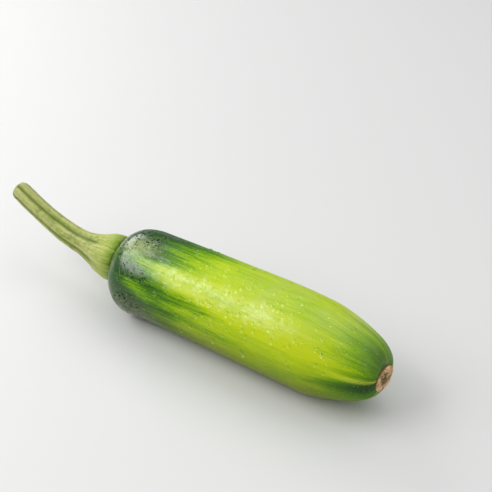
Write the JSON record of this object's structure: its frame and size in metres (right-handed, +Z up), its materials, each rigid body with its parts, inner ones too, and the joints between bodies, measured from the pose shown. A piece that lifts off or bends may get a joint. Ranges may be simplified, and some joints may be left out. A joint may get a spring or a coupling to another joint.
{
  "type": "korean zucchini",
  "caption": "Whole Korean summer squash lying on its side: a stout light-green fruit with dark-green ends, a ribbed stem flared at its foot, and the corky scar left by its flower.",
  "frame": {"origin": "centre of the bottom of the part's box, on the surface that the fruit lies on", "axes": "+X along the fruit from the stem end to the blossom end, +Z up; the middle of the fruit bows a little towards +Y"},
  "size_m": [0.2744, 0.0556, 0.055],
  "materials": {
    "skin": "waxy, wet and glossy, yellow-green with dark-green ends and fine lengthwise streaks",
    "stem": "satin, light olive green with darker grooves between its ribs",
    "cork": "dry, matte and rough, tan with a dark sunken middle"
  },
  "bodies": {
    "root": {"fruit": "skin", "stem": "stem", "blossom_scar": "cork"}
  },
  "joints": []
}
